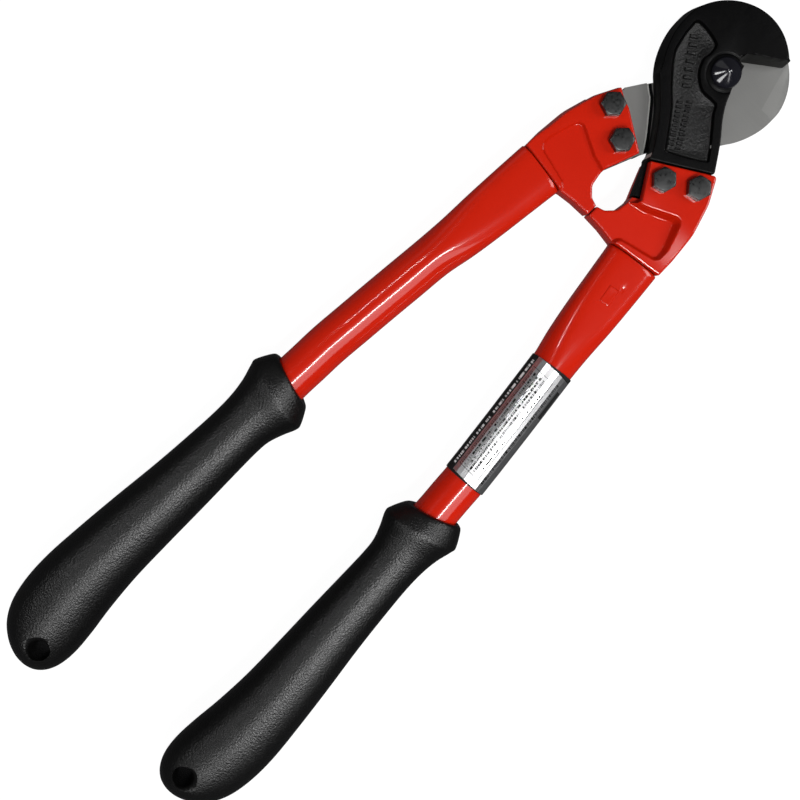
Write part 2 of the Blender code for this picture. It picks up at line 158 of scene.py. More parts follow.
def resampled(ring, spacing):
    """Anticlockwise ring with its corners kept and its long sides divided."""
    ring = anticlockwise(ring)
    points = []
    for start, end in zip(ring, np.roll(ring, -1, 0)):
        length = float(np.hypot(*(end - start)))
        if length < 1e-4:
            continue
        pieces = max(1, round(length / spacing))
        points += [start + (end - start) * i / pieces for i in range(pieces)]
    return np.array(points)


def distance(points, line, closed=True):
    """Each point's distance to a polyline."""
    p = np.asarray(points, float)[:, None, :]
    a = np.asarray(line, float)
    b = np.roll(a, -1, 0) if closed else a[1:]
    a = a if closed else a[:-1]
    span = b - a
    length = np.maximum((span**2).sum(1), 1e-12)
    t = np.clip(((p - a) * span).sum(2) / length, 0, 1)
    nearest = a + t[..., None] * span
    return np.sqrt(((p - nearest) ** 2).sum(2)).min(1)


def inside(points, ring):
    p = np.asarray(points, float)
    a = np.asarray(ring, float)
    b = np.roll(a, -1, 0)
    y = p[:, 1, None]
    crosses = (a[:, 1] > y) != (b[:, 1] > y)
    rise = np.where(b[:, 1] == a[:, 1], 1e-12, b[:, 1] - a[:, 1])
    at = a[:, 0] + (y - a[:, 1]) / rise * (b[:, 0] - a[:, 0])
    return (crosses & (p[:, 0, None] < at)).sum(1) % 2 == 1


def depth(points, ring):
    """Distance inside a ring, negative outside."""
    return np.where(inside(points, ring), 1.0, -1.0) * distance(points, ring)


def inset(ring, amount):
    """Ring moved in by an amount, or out by a negative one, without its folds."""
    before = ring - np.roll(ring, 1, 0)
    after = np.roll(ring, -1, 0) - ring
    before /= np.maximum(np.hypot(*before.T), 1e-9)[:, None]
    after /= np.maximum(np.hypot(*after.T), 1e-9)[:, None]
    square = np.stack([-before[:, 1] - after[:, 1], before[:, 0] + after[:, 0]], 1)
    square /= np.maximum(np.hypot(*square.T), 1e-9)[:, None]
    first = np.stack([-before[:, 1], before[:, 0]], 1)
    reach = amount / np.maximum((square * first).sum(1), 0.45)
    moved = ring + square * reach[:, None]
    return moved[distance(moved, ring) > abs(amount) * 0.985]


def ease(t):
    t = np.clip(t, 0, 1)
    return t * t * (3 - 2 * t)


def fall(d, radius):
    """Drop below the top of a rounded edge at a distance in from it."""
    inward = np.clip(radius - d, 0, radius)
    return radius - np.sqrt(np.maximum(radius**2 - inward**2, 0))


# Solids.
def in_scene(name, data):
    """New object, linked to the scene."""
    made = bpy.data.objects.new(name, data)
    bpy.context.scene.collection.objects.link(made)
    return made


def mesh_of(name, bm):
    """Mesh in metres from a bmesh in millimetres, which it frees."""
    bmesh.ops.recalc_face_normals(bm, faces=bm.faces)
    bmesh.ops.transform(bm, matrix=Matrix.Scale(MM, 4), verts=bm.verts)
    mesh = bpy.data.meshes.new(name)
    bm.to_mesh(mesh)
    bm.free()
    return mesh


def add_object(name, bm, materials, body, sharp=FORGED_SHARP):
    """Piece that rides on a body."""
    made = in_scene(name, mesh_of(name, bm))
    for item in materials:
        made.data.materials.append(item)
    finish_mesh(made.data, sharp)
    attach(made, body)
    return made


def finish_mesh(mesh, sharp):
    mesh.shade_smooth()
    mesh.set_sharp_from_angle(angle=math.radians(sharp))


def relief(outline, rings, lines, top, bottom, base):
    """Solid between two heightfields that meet at a base height round the outline."""
    points, edges = [], []
    for ring in [outline, *rings]:
        first = len(points)
        points += [Vector((float(x), float(y))) for x, y in ring]
        edges += [(first + i, first + (i + 1) % len(ring)) for i in range(len(ring))]
    for line in lines:
        first = len(points)
        points += [Vector((float(x), float(y))) for x, y in line]
        edges += [(first + i, first + i + 1) for i in range(len(line) - 1)]
    flat, _, faces, _, _, _ = delaunay_2d_cdt(points, edges, [], 0, 1e-4)
    flat = np.array([tuple(p) for p in flat])
    faces = np.array(faces)
    centres = flat[faces].mean(1)
    faces = faces[depth(centres, outline) > 0]
    rim = distance(flat, outline) < 2e-3
    high, low = top(flat), bottom(flat)
    bm = bmesh.new()
    upper, lower = {}, {}
    for i in np.unique(faces):
        x, y = flat[i]
        if rim[i]:
            upper[i] = lower[i] = bm.verts.new((x, y, base))
        else:
            upper[i] = bm.verts.new((x, y, high[i]))
            lower[i] = bm.verts.new((x, y, low[i]))
    for face in faces:
        bm.faces.new([upper[i] for i in face])
        if len({lower[i] for i in face} - {upper[i] for i in face}):
            bm.faces.new([lower[i] for i in face[::-1]])
    return bm


def prism(outline, low, high):
    bm = bmesh.new()
    corners = [bm.verts.new((x, y, low)) for x, y in outline]
    face = bm.faces.new(corners)
    raised = bmesh.ops.extrude_face_region(bm, geom=[face])["geom"]
    moved = [item for item in raised if isinstance(item, bmesh.types.BMVert)]
    bmesh.ops.translate(bm, vec=(0, 0, high - low), verts=moved)
    return bm


def bridge(bm, rings, closed):
    pairs = list(zip(rings, rings[1:]))
    if closed:
        pairs.append((rings[-1], rings[0]))
    for low, high in pairs:
        for i in range(len(low)):
            j = (i + 1) % len(low)
            bm.faces.new((low[i], low[j], high[j], high[i]))


def lofted(sections, closed=False):
    """Solid through rings of points: a closed ring of them, or with its two ends capped."""
    bm = bmesh.new()
    rings = [[bm.verts.new(point) for point in section] for section in sections]
    bridge(bm, rings, closed)
    if not closed:
        bm.faces.new(rings[0])
        bm.faces.new(rings[-1])
    return bm


def turned(profile, centre=(0, 0), sides=72):
    """Solid turned about Z from (radius, height), with both ends of the profile on the axis."""
    sections = []
    for radius, height in profile:
        ring = arc(max(radius, 1e-3), 0, 360 - 360 / sides, sides - 1, centre)
        sections.append([(x, y, height) for x, y in ring])
    return lofted(sections)


def drill(radius, low, high, centre=(0, 0), sides=32):
    """Round cutter between two heights."""
    return turned([(0, low), (radius, low), (radius, high), (0, high)], centre, sides)


def cut(target, cutters):
    """Cuts each bmesh, in millimetres, out of an object's mesh."""
    for bm in cutters:
        helper = in_scene("cutter", mesh_of("cutter", bm))
        step = target.modifiers.new("cut", "BOOLEAN")
        step.operation = "DIFFERENCE"
        step.solver = "EXACT"
        step.object = helper
        graph = bpy.context.evaluated_depsgraph_get()
        result = bpy.data.meshes.new_from_object(target.evaluated_get(graph))
        target.modifiers.clear()
        target.data = result
        bpy.data.objects.remove(helper)
    finish_mesh(target.data, FORGED_SHARP)


def settle(made, turned_over=False):
    """Moves a piece's points from the pivot's frame into the world."""
    over = Matrix.Rotation(math.pi, 4, "Y") if turned_over else Matrix.Identity(4)
    made.data.transform(Matrix.Translation((0, 0, MIDDLE * MM)) @ over)
    return made


# Materials.
class Nodes:
    """Shader graph with short calls: each returns an output socket."""

    def __init__(self, name):
        self.material = bpy.data.materials.new(name)
        self.material.use_nodes = True
        self.tree = self.material.node_tree
        self.shader = self.tree.nodes["Principled BSDF"]

    def add(self, kind):
        return self.tree.nodes.new("ShaderNode" + kind)

    def put(self, socket, value):
        if isinstance(value, bpy.types.NodeSocket):
            self.tree.links.new(value, socket)
        elif isinstance(value, tuple) and len(value) == 3 and len(socket.default_value) == 4:
            socket.default_value = (*value, 1)
        else:
            socket.default_value = value

    def set(self, **values):
        for name, value in values.items():
            self.put(self.shader.inputs[name.replace("_", " ")], value)

    def place(self, scale=(1, 1, 1), turn=0.0):
        """Object coordinates in millimetres, scaled and turned about Z."""
        coords = self.add("TexCoord")
        mapping = self.add("Mapping")
        mapping.inputs["Scale"].default_value = [1000 * s for s in scale]
        mapping.inputs["Rotation"].default_value = (0, 0, math.radians(turn))
        self.tree.links.new(coords.outputs["Object"], mapping.inputs["Vector"])
        return mapping.outputs["Vector"]

    def noise(self, where, scale, detail=3.0, rough=0.5):
        made = self.add("TexNoise")
        self.put(made.inputs["Vector"], where)
        made.inputs["Scale"].default_value = scale
        made.inputs["Detail"].default_value = detail
        made.inputs["Roughness"].default_value = rough
        return made.outputs["Fac"]

    def cells(self, where, scale):
        made = self.add("TexVoronoi")
        self.put(made.inputs["Vector"], where)
        made.inputs["Scale"].default_value = scale
        return made.outputs["Distance"]

    def ramp(self, value, low, high, to_low, to_high):
        made = self.add("MapRange")
        names = ("Value", "From Min", "From Max", "To Min", "To Max")
        for name, item in zip(names, (value, low, high, to_low, to_high)):
            self.put(made.inputs[name], item)
        return made.outputs["Result"]

    def math(self, operation, a, b):
        made = self.add("Math")
        made.operation = operation
        self.put(made.inputs[0], a)
        self.put(made.inputs[1], b)
        return made.outputs["Value"]

    def mix(self, factor, a, b):
        made = self.add("Mix")
        made.data_type = "RGBA"
        self.put(made.inputs["Factor"], factor)
        self.put(made.inputs[6], a)
        self.put(made.inputs[7], b)
        return made.outputs[2]

    def bump(self, height, strength, distance_mm, under=None):
        made = self.add("Bump")
        made.inputs["Strength"].default_value = strength
        made.inputs["Distance"].default_value = distance_mm * MM
        self.put(made.inputs["Height"], height)
        if under:
            self.put(made.inputs["Normal"], under)
        return made.outputs["Normal"]


def red_paint(name):
    """Thick gloss paint over a forging or a tube, with orange peel."""
    n = Nodes(name)
    where = n.place()
    cloud = n.noise(where, 0.05, 3)
    peel = n.noise(where, 0.45, 2)
    fine = n.noise(where, 2.2, 2)
    n.set(Base_Color=n.mix(cloud, (0.36, 0.0075, 0.001), (0.4, 0.01, 0.002)))
    n.set(Roughness=n.ramp(fine, 0.3, 0.7, 0.17, 0.22))
    n.set(Coat_Weight=0.4, Coat_Roughness=0.05, Specular_IOR_Level=0.2)
    n.set(Normal=n.bump(peel, 0.012, 0.2))
    return n.material


def black_forging(name):
    """Satin black finish over forged steel, with fine grit."""
    n = Nodes(name)
    where = n.place()
    grit = n.noise(where, 2.4, 4, 0.6)
    broad = n.noise(where, 0.25, 3)
    n.set(Base_Color=n.mix(broad, (0.0006, 0.0006, 0.0007), (0.0018, 0.0018, 0.0019)))
    n.set(Roughness=n.ramp(grit, 0.3, 0.7, 0.3, 0.4), Specular_IOR_Level=0.07)
    n.set(Normal=n.bump(grit, 0.35, 0.1, n.bump(broad, 0.2, 0.4)))
    return n.material


def black_casting(name):
    """Coarser, lighter surface of the sunk panel."""
    n = Nodes(name)
    where = n.place()
    grit = n.noise(where, 0.9, 4, 0.6)
    broad = n.noise(where, 0.2, 3)
    n.set(Base_Color=n.mix(grit, (0.0008, 0.0008, 0.0008), (0.006, 0.006, 0.006)))
    n.set(Roughness=n.ramp(broad, 0.3, 0.7, 0.3, 0.4), Specular_IOR_Level=0.2)
    n.set(Normal=n.bump(grit, 0.8, 0.45))
    return n.material


def ground_steel(name, turn, painted_sheen_gain=1.0):
    """Bare face with a grinder's fine straight lines, slightly warm. A gain above 1 makes a
    lighter copy of it: a painted highlight for a face that catches more light.
    """
    tones = [tone * painted_sheen_gain for tone in (0.112, 0.136, 0.15)]
    dull, pale, line = ((tone, tone, tone * 0.965) for tone in tones)
    n = Nodes(name)
    lines = n.noise(n.place((0.06, 3.2, 1), turn), 1.0, 4, 0.6)
    cloud = n.noise(n.place(), 0.06, 3)
    n.set(Base_Color=n.mix(n.ramp(lines, 0.35, 0.65, 0.0, 0.3), n.mix(cloud, dull, pale), line))
    n.set(Roughness=n.ramp(lines, 0.3, 0.7, 0.42, 0.52), Metallic=0.6)
    n.set(Normal=n.bump(lines, 0.1, 0.05))
    return n.material


def cove_painted_highlight_steel(name):
    """Cove beside the ground face, in steel much lighter than the ground face's: a painted
    highlight for the light its curve catches.
    """
    n = Nodes(name)
    mottle = n.noise(n.place(), 0.9, 3)
    n.set(Base_Color=n.mix(mottle, (0.42, 0.42, 0.4), (0.6, 0.6, 0.58)))
    n.set(Roughness=n.ramp(mottle, 0.3, 0.7, 0.35, 0.5), Metallic=0.4)
    n.set(Normal=n.bump(mottle, 0.2, 0.1))
    return n.material


def black_oxide(name, roughness=0.32):
    """Blackened fastener."""
    n = Nodes(name)
    where = n.place()
    mottle = n.noise(where, 0.9, 4)
    n.set(Base_Color=n.mix(mottle, (0.0015, 0.0018, 0.0018), (0.006, 0.0068, 0.0068)))
    n.set(Roughness=n.ramp(mottle, 0.3, 0.7, roughness - 0.06, roughness + 0.1))
    n.set(Metallic=0.08, Normal=n.bump(mottle, 0.15, 0.08))
    return n.material


def polished_black(name):
    """Domed head of the pivot bolt."""
    n = Nodes(name)
    mottle = n.noise(n.place(), 1.6, 3)
    n.set(Base_Color=n.mix(mottle, (0.002, 0.002, 0.004), (0.005, 0.005, 0.008)))
    n.set(Roughness=n.ramp(mottle, 0.3, 0.7, 0.12, 0.2), Specular_IOR_Level=0.5)
    n.set(Coat_Weight=0.7, Coat_Roughness=0.06)
    n.set(Normal=n.bump(mottle, 0.05, 0.05))
    return n.material


def grip_plastic(name):
    """Black moulding with a fine pebbled surface."""
    n = Nodes(name)
    where = n.place()
    pebbles = n.cells(where, 1.1)
    grit = n.noise(where, 2.6, 3, 0.6)
    height = n.math("ADD", pebbles, n.math("MULTIPLY", grit, 0.5))
    n.set(Base_Color=n.mix(grit, (0.0004, 0.0004, 0.0004), (0.0012, 0.0012, 0.0012)))
    n.set(Roughness=n.ramp(pebbles, 0.0, 0.7, 0.3, 0.37), Specular_IOR_Level=0.4)
    n.set(Normal=n.bump(height, 0.5, 0.3))
    return n.material


# Blades.
def edge_point(edge, along, back=0.0):
    """Point along a cutting edge's line and back from it; an edge is its angle and its offset."""
    turn, offset = edge
    across, forward = polar(offset + back, turn + 90), polar(along, turn)
    return (across[0] + forward[0], across[1] + forward[1])


def tip_of(edge):
    """Distance along a cutting edge at which it meets the jaw's back, and the angle there."""
    angles, radii = zip(*smooth(JAW_BACK, 8))
    along, angle = 30.0, 0.0
    for _ in range(8):
        x, y = edge_point(edge, along)
        angle = math.degrees(math.atan2(y, x))
        along = math.sqrt(float(np.interp(angle, angles, radii)) ** 2 - edge[1] ** 2)
    return along, angle


def jaw_side(edge):
    """Cutting edge, back of the jaw and inner side of the neck."""
    tip_along, tip_angle = tip_of(edge)
    curve = smooth(JAW_BACK, 8)
    back = [polar(radius, angle) for angle, radius in curve if angle > tip_angle + 1.0]
    inner = smooth([back[-1], *NECK_INNER], 6)[1:]
    return [edge_point(edge, 11.0), edge_point(edge, tip_along - 0.8), *back, *inner]


BOSS_RADIUS = 7.4  # of the blade around the pivot, on the mouth side
BOSS_START = -18


def front_throat():
    notch = [(4.4, 7.6), (3.4, 9.4), (2.4, 10.9), edge_point(FRONT_EDGE, 9.0)]
    return [*arc(BOSS_RADIUS, BOSS_START, 50, 12), *smooth(notch, 4)]


def rear_throat():
    turn, offset = REAR_EDGE
    return arc(-offset, BOSS_START, turn - 92, 14)


def plate_outline(edge, throat):
    """Jaw and neck down to the fork."""
    return [*jaw_side(edge), *smooth(NECK_OUTER, 8), *throat]


def tang_points():
    end = [fork_line(1.5, SLOT_DEPTH - GAP), fork_line(26.0, SLOT_DEPTH - GAP)]
    outer = [fork_line(27.6, 9.0), fork_line(28.2, 2.0), (28.0, -34.6)]
    return [(2.6, -52.4), (8.6, -66.4), *end, *outer]


def blade_outline(edge, throat):
    """Plate and tang together."""
    return [*jaw_side(edge), *tang_points(), *smooth(NECK_OUTER, 8)[1:], *throat]


# Line between a blade's plate and its tang, from the outer side to past the inner side.
STEP_LOWER = [(16.0, -30.3), (10.9, -36.5), (5.6, -43.2), (2.0, -48.6)]
STEP_END = [(0.2, -53.0), (-4.0, -60.0)]
STEP = [*arc(STEP_RADIUS, -40, -59, 14), *smooth(STEP_LOWER, 4), *STEP_END]
COVE = 1.4  # width of the cove along the step
BLACK_BAND = 1.5  # width of the unground band beside the cove
# Line past which the rear jaw's face is ground back.
FACET_START, FACET_END = (-19.3, 24.2), (-24.6, 4.8)
FACET_SLOPE = 0.273
PANEL = [
    (-24.7, 7.8), (-12.6, 6.6), (-10.6, 1.5), (-11.1, -2.7), (-8.2, -8.3), (-2.4, -12.2),
    (3.4, -12.2), (7.0, -12.6), (9.4, -16.5), (14.7, -22.8), (20.9, -30.6), (21.2, -34.4),
    (6.2, -42.9), (3.3, -41.8), (-1.1, -35.8), (-7.9, -27.4), (-12.4, -23.0), (-18.7, -16.2),
    (-23.4, -10.0), (-25.0, -5.2), (-26.2, 2.2),
]
PANEL_DEPTH = 0.9
GROOVE_RADIUS, GROOVE_DEPTH = 8.6, 0.4  # of the groove round the pivot bolt
# Rows of raised plain tallies in the panel: start, end, count, half height.
TALLIES = [
    ((-21.5, 1.4), (-8.8, -16.2), 7, 1.9),
    ((-2.8, -20.2), (8.2, -38.2), 11, 1.2),
    ((-5.9, -23.4), (4.4, -39.2), 10, 1.2),
]
TALLY_HEIGHT = 0.6
TALLY_SHARE = 0.2  # half a tally's width as a share of its pitch

# Distances at which the mesh follows a feature: in from the outline, in from the panel's edge,
# from the pivot's axis, and across the cove as shares of its width.
WALL_RINGS = (0.02, 0.15, 0.25, 0.34, 0.55, 0.85, 1.1, 1.3, 1.38, 1.55, 1.9, 2.3)
PANEL_RINGS = (-0.5, -0.1, 0.1, 0.3, 0.5, 0.7, 0.95, 1.2, 1.5, 1.9)
GROOVE_RINGS = (7.7, 8.1, 8.35, 8.6, 8.85, 9.1, 9.5)
COVE_SHARES = (1.0, 0.75, 0.5, 0.3, 0.15, 0.05, 0.0)


def wall_and_round(d, low, high, width, radius):
    """Height over a drafted wall and a rounded edge at a distance in from the outline."""
    shoulder = high - radius
    wall = low + (shoulder - low) * np.clip(d / width, 0, 1)
    return np.where(d < width, wall, high - fall(d - width, radius))


def blade_top(edge, plate, steep, panel):
    """Height of the outer face: drafted walls, bevelled jaw, sunk panel and the tang's face."""
    turn, offset = edge
    across, forward = np.array(polar(1, turn + 90)), np.array(polar(1, turn))
    edge_line = [edge_point(edge, 8.0), edge_point(edge, 45.0)]

    def height(p):
        near = distance(p, plate)
        # The walls lean round the jaw and stand upright along the neck and the throat.
        draft = 1.5 - 1.35 * ease((-16.0 - p[:, 1]) / 5.0)
        drafted = wall_and_round(near, BLADE_LOW, BLADE_HIGH, draft, 0.6)
        from_steep = distance(p, steep, closed=False)
        upright = wall_and_round(from_steep, BLADE_LOW, BLADE_HIGH, 0.25, 0.6)
        along, back = p @ forward, p @ across - offset
        bevel = np.interp(along, (7.2, 9.2, 30.0), (0.3, 1.7, 0.6))
        lean = wall_and_round(np.maximum(back, 0), BLADE_LOW, BLADE_HIGH, bevel, 0.2)
        from_edge = distance(p, edge_line, closed=False)
        beside_edge = (from_edge < 3.5) & (along > 6)
        face = np.where(near < from_steep - 1e-6, drafted, upright)
        other = np.where(near < from_edge - 0.02, face, BLADE_HIGH)
        face = np.where(beside_edge, np.minimum(other, lean), face)
        if panel is not None:
            # The groove stops short of the plate's foot where it meets the outline.
            face = np.maximum(face + panel_relief(p, panel), np.minimum(face, 1.0))
        face = np.where(inside(p, plate), face, TANG_HIGH)
        return np.maximum(face, np.where(step_depth(p) > 0, TANG_HIGH, -99))

    return height


def panel_relief(p, panel):
    """Sunk cast panel with a groove and a bead round it, tallies, and a groove round the bolt."""
    sunk = depth(p, panel)
    rise = -PANEL_DEPTH * ease((sunk + 0.1) / 0.6)
    rise -= swell(sunk, 0.45, 0.45, 0.33)
    rise += swell(sunk, 0.3, 1.35, 0.4)
    rise -= swell(np.hypot(*p.T), GROOVE_DEPTH, GROOVE_RADIUS, 0.45)
    for row in TALLIES:
        start, ahead, side, pitch, count, half = tally_row(*row)
        along, across = (p - start) @ ahead, (p - start) @ side
        nearest = np.clip(np.round(along / pitch), 0, count - 1) * pitch
        width = pitch * TALLY_SHARE
        edge = np.maximum(np.abs(along - nearest) - width, np.abs(across) - half)
        rise += TALLY_HEIGHT * (1 - ease((edge + 0.15) / 0.35))
    return rise


def swell(d, height, middle, width):
    """Rounded ridge of a height across a distance."""
    return height * np.exp(-(((d - middle) / width) ** 2))


def tally_row(start, end, count, half):
    """Start, direction, square direction, pitch, count and half height of a row of tallies."""
    start, end = np.array(start), np.array(end)
    span = float(np.hypot(*(end - start)))
    ahead = (end - start) / span
    return start, ahead, np.array([-ahead[1], ahead[0]]), span / (count - 1), count, half


def step_depth(p):
    """Distance beyond the step line, positive on the tang's side."""
    ring = anticlockwise([*STEP, (7.9, -75.0), (60, -75), (60, -12), (28, -12)])
    near = distance(p, STEP, closed=False)
    return np.where(inside(p, ring), near, -near)


def blade_bottom(facet):
    """Inner face: flat, with the facet if asked, then a cove down to the tang's lower face."""

    def height(p):
        t = np.clip((step_depth(p) + COVE) / COVE, 0, 1)
        low = BLADE_LOW + (TANG_LOW - BLADE_LOW) * (1 - np.sqrt(np.maximum(1 - t**2, 0)))
        return low + 0.2 * ease(facet_depth(p) / 4.0) if facet else low

    return height


def facet_depth(p):
    """Distance past the line where the rear jaw's face is ground back towards its tip."""
    start, end = np.array(FACET_START), np.array(FACET_END)
    ahead = (end - start) / np.hypot(*(end - start))
    past = (p - start) @ np.array([ahead[1], -ahead[0]])
    return np.where(p[:, 1] > 2.0, past, -1.0) * np.clip((p[:, 1] - 4.0) / 10.0, 0, 1)


def inner_face_kind(normal, beyond):
    """0 black, 1 ground, 2 cove with its painted highlight, for a face of the blade."""
    if -COVE < beyond < -0.05 and normal.z < 0.3:
        return 2
    if normal.z > -0.15:
        return 0
    return 0 if -COVE - BLACK_BAND <= beyond < -COVE else 1


def blade(name, edge, throat, with_panel, body, turned_over):
    outline = resampled(blade_outline(edge, throat), 0.9)
    plate = anticlockwise(plate_outline(edge, throat))
    steep = np.array([*smooth(NECK_OUTER, 8), *throat])
    ring = resampled(plate, 0.9)
    features = [inset(ring, d) for d in WALL_RINGS]
    features.append(inset(outline, 0.25))
    lines = [open_line(STEP, -COVE * share) for share in COVE_SHARES]
    lines.append(open_line(STEP, -COVE - BLACK_BAND))
    panel = None
    if with_panel:
        panel = resampled(smooth_closed(PANEL), 0.6)
        features += [inset(panel, d) for d in PANEL_RINGS]
        features += [np.array(arc(radius, 0, 355, 71)) for radius in GROOVE_RINGS]
        features += tally_rings()
    else:
        x, y = FACET_START
        lines.append(np.array([(x - FACET_SLOPE * t, y - t) for t in range(1, 22)]))
    height = blade_top(edge, plate, steep, panel)
    bm = relief(outline, features, lines, height, blade_bottom(not with_panel), BLADE_LOW)
    assign_blade_faces(bm, panel)
    materials = [
        black_forging(name + "_black"),
        ground_steel(name + "_ground", FORK_ANGLE),
        # The cove's steel is lighter than the ground face's: a painted highlight.
        cove_painted_highlight_steel(name + "_cove"),
    ]
    if with_panel:
        materials.append(black_casting(name + "_panel"))
    else:
        # The facet gets the ground steel 15% lighter: a painted highlight for the light its tilt
        # catches.
        materials.append(ground_steel(name + "_facet", FORK_ANGLE, 1.15))
    made = add_object(name, bm, materials, body)
    cut(made, [drill(PIVOT_RADIUS + GAP, -9, 19, sides=48)])
    return settle(made, turned_over)


def tally_rings():
    """Outlines of the tallies' tops and feet, for the mesh to follow."""
    rings = []
    for row in TALLIES:
        start, ahead, side, pitch, count, half = tally_row(*row)
        for i in range(count):
            middle = start + ahead * pitch * i
            for grow in (-0.15, 0.2):
                wide, tall = pitch * TALLY_SHARE + grow, half + grow
                corners = [(-wide, -tall), (wide, -tall), (wide, tall), (-wide, tall)]
                ring = np.array([middle + ahead * a + side * b for a, b in corners])
                rings.append(resampled(ring, 0.8))
    return rings


def smooth_closed(points, steps=5):
    """Closed curve through the points."""
    count = len(points)
    curve = []
    for i in range(count):
        four = [points[(i + k - 1) % count] for k in range(4)]
        curve += [blended(*four, step / steps) for step in range(steps)]
    return curve


def open_line(line, shift):
    """Open line moved square to itself, to its left."""
    p = np.array(line, float)
    ahead = np.gradient(p, axis=0)
    ahead /= np.maximum(np.hypot(*ahead.T), 1e-9)[:, None]
    return p + np.stack([-ahead[:, 1], ahead[:, 0]], 1) * shift


def assign_blade_faces(bm, panel):
    """Gives each face its material: the fourth is the panel's, or, with no panel, the facet's, a
    lighter copy of the ground steel that paints a highlight on it.
    """
    bmesh.ops.recalc_face_normals(bm, faces=bm.faces)
    faces = list(bm.faces)
    centres = np.array([tuple(f.calc_center_median())[:2] for f in faces])
    beyond = step_depth(centres)
    sunk = depth(centres, panel) if panel is not None else facet_depth(centres)
    for i, face in enumerate(faces):
        kind = inner_face_kind(face.normal, beyond[i])
        on_panel = kind == 0 and face.normal.z > 0 and sunk[i] > 0.6
        on_facet = kind == 1 and sunk[i] > 0
        if on_panel if panel is not None else on_facet:
            kind = 3
        face.material_index = kind


# Heads.
def head_outline():
    ends = [(*fork_line(-1.1, 0), 1.2), (7.0, -62.3, 20.0), (9.1, -67.3, 4.0)]
    gap_side = [(8.9, -70.4, 2.5), (7.9, -76.0, 4.0), (4.0, -80.0, 3.0), (GAP / 2, -81.2, 0.5)]
    stop = [(GAP / 2, -87.0, 0.6), (9.0, -87.3, 6.0), (16.6, -88.3, 0.5)]
    side = [(42.8, -84.6, 0.8), (42.6, -75.5, 30.0), (40.9, -61.0, 30.0), (36.4, -46.5, 20.0)]
    return rounded([*ends, *gap_side, *stop, *side, (*fork_line(30.8, 0), 1.8)])


def pocket_outline():
    """Top of the pocket's walls; it runs out at the stop boss."""
    open_side = [(-6.0, -72.0, 0), (-6.0, -98.0, 0), (17.0, -98.0, 0), (17.8, -85.6, 2.5)]
    walls = [(37.8, -80.8, 4.0), (37.6, -74.0, 8.0), (32.4, -58.6, 3.5)]
    return rounded([*open_side, *walls, (*fork_line(3.0, POCKET_DEPTH), 2.0)])


POCKET_FLOOR = 6.1
SHELF_HEIGHT = 5.0  # of the lower plate's corner beside the tang
SEAM_HIGH, SEAM_LOW = 8.9, 8.0  # top and bottom of the head where it meets the tube
HEAD_RINGS = (0.15, 0.2, 0.32, 0.5, 0.75, 1.15, 1.25, 1.45, 1.8, 2.3)
SHELF_RINGS = (0.15, 0.3, 0.55, 0.85, 1.1)
SHELF = [(2.4, -50.2), (12.4, -66.0), (12.0, -67.9), (9.8, -69.5), (5.0, -70.2), (-6.0, -62.0)]


def head_surface(outline, pocket, sign):
    """Height of the head's upper (sign 1) or lower (sign -1) side."""
    high = FORK_HIGH if sign > 0 else -FORK_LOW
    seam_high = SEAM_HIGH if sign > 0 else SEAM_LOW
    shelf = anticlockwise(SHELF)

    def height(p):
        # The face falls towards the seam, and again down the pocket's sloping wall.
        toward_seam = ease((-58.0 - p[:, 1]) / 26.0)
        level = high + (seam_high - high) * toward_seam
        drop = np.maximum(level - POCKET_FLOOR, 0.5)
        t = np.clip((depth(p, pocket) + 0.2) / (0.65 * drop), 0, 1)
        level = level - drop * (0.35 * t + 0.65 * ease(t))
        # On the lower side, the outer wall leans in between the fork and the seam.
        leaning = ease((p[:, 0] - 20.0) / 6.0) * ease((p[:, 1] + 82.0) / 12.0)
        draft = 0.15 if sign > 0 else 0.15 + 1.1 * leaning
        rise = wall_and_round(distance(p, outline), 0.0, level, draft, 1.0)
        if sign > 0:
            beside = wall_and_round(distance(p, shelf), SHELF_HEIGHT, level, 0.15, 0.9)
            most = np.where(inside(p, shelf), SHELF_HEIGHT, beside)
            rise = np.minimum(rise, most)
        return sign * rise

    return height


def head(side, turned_over):
    outline = resampled(head_outline(), 0.8)
    pocket = resampled(pocket_outline(), 0.55)
    features = [inset(outline, d) for d in HEAD_RINGS]
    features += [pocket, *[inset(pocket, 0.25 * i) for i in (-5, -3, -2, -1, *range(1, 13))]]
    shelf = resampled(SHELF, 0.8)
    features += [shelf, *[inset(shelf, -d) for d in SHELF_RINGS]]
    upper = head_surface(outline, pocket, 1)
    lower = head_surface(outline, pocket, -1)
    bm = relief(outline, features, [], upper, lower, 0.0)
    paint = red_paint(side + "_head_red")
    made = add_object(side + "_forged_head", bm, [paint], side + "_half")
    ends = ((-20, -20), (-20, SLOT_DEPTH), (60, SLOT_DEPTH), (60, -20))
    slot = [fork_line(along, across) for along, across in ends]
    cutters = [prism(slot, TANG_LOW - GAP, TANG_HIGH + GAP)]
    for centre in BOLT_CENTRES.values():
        cutters.append(drill(BOLT_RADIUS + GAP, -30, 30, centre))
    cut(made, cutters)
    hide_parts(side + "_head")
    return settle(made, turned_over)


# Tubes and grips.
def narrowed(inner, outer, amount):
    """Ends of a section moved towards each other."""
    start, end = Vector(inner), Vector(outer)
    step = (end - start).normalized() * amount
    return (start + step, end - step)


def oval(inner, outer, half_depth, power=2.0, count=72):
    """Section between two points: an ellipse at a power of 2, and squarer above it."""
    centre = Vector((inner[0] + outer[0], inner[1] + outer[1], 0)) / 2
    reach = Vector((outer[0] - inner[0], outer[1] - inner[1], 0)) / 2
    points = []
    for i in range(count):
        angle = math.tau * i / count
        across = math.copysign(abs(math.cos(angle)) ** (2 / power), math.cos(angle))
        up = math.copysign(abs(math.sin(angle)) ** (2 / power), math.sin(angle))
        points.append(centre + reach * across + Vector((0, 0, half_depth * up)))
    return points


